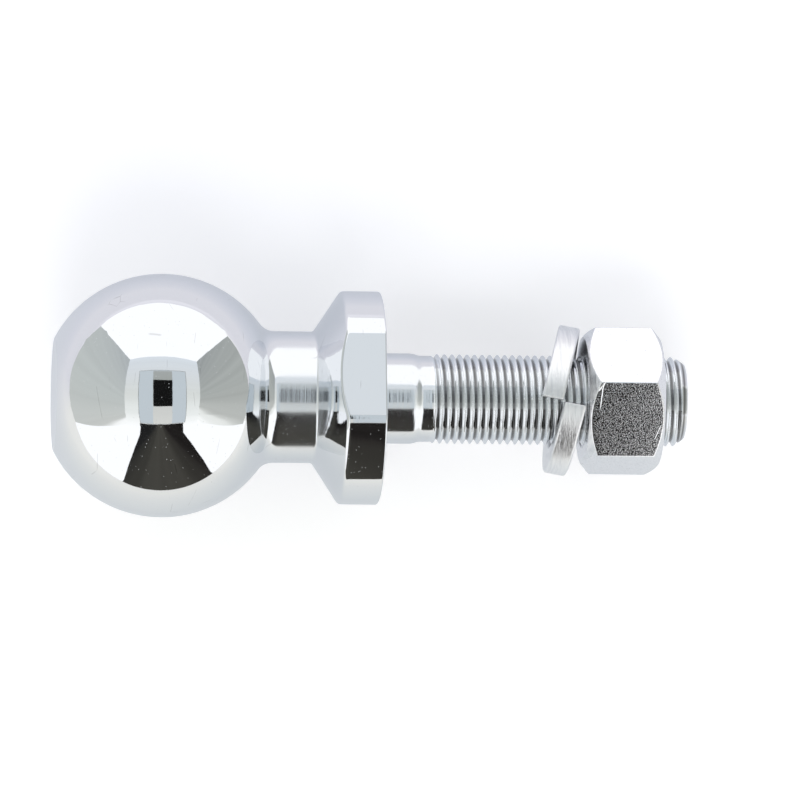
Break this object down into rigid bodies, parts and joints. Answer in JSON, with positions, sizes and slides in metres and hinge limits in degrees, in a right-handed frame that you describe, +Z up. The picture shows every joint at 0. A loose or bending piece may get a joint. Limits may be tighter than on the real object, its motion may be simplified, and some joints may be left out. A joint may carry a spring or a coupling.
{
  "type": "threaded tow ball",
  "caption": "Chromed tow ball with neck, collar with wrench flats and fine-threaded shank, carrying a split lock washer and a hexagon nut; lies on its side.",
  "frame": {"origin": "on the table under the middle of the object's box, which lies on its side at rest", "axes": "+X along the table from the ball towards the end of the shank, which dips 5.4 degrees; +Z up; the upper wrench flat faces up, rolled 6.9 degrees towards +Y"},
  "size_m": [0.1334, 0.0508, 0.0508],
  "materials": {
    "chrome_plate": "polished chrome",
    "washer_zinc": "brushed, zinc plated",
    "nut_zinc": "fine-grained, zinc plated"
  },
  "bodies": {
    "stud": {"tow_ball_stud": "chrome_plate"},
    "washer": {"spring_washer": "washer_zinc"},
    "nut": {"hex_nut": "nut_zinc"}
  },
  "joints": [
    {"name": "nut_travel", "type": "slide", "parent": "stud", "child": "washer", "axis": [0.9956, 0, -0.0934], "range_m": [-0.02938, 0.00477]},
    {"name": "nut_turn", "type": "hinge", "parent": "washer", "child": "nut", "pos_m": [0.05271, 0, 0.0164], "axis": [0.9956, 0, -0.0934], "range_deg": [-6660, 1080]}
  ],
  "couplings": [
    {"joint": "nut_travel", "follows": "nut_turn", "m_per_rad": 0.00025266}
  ]
}
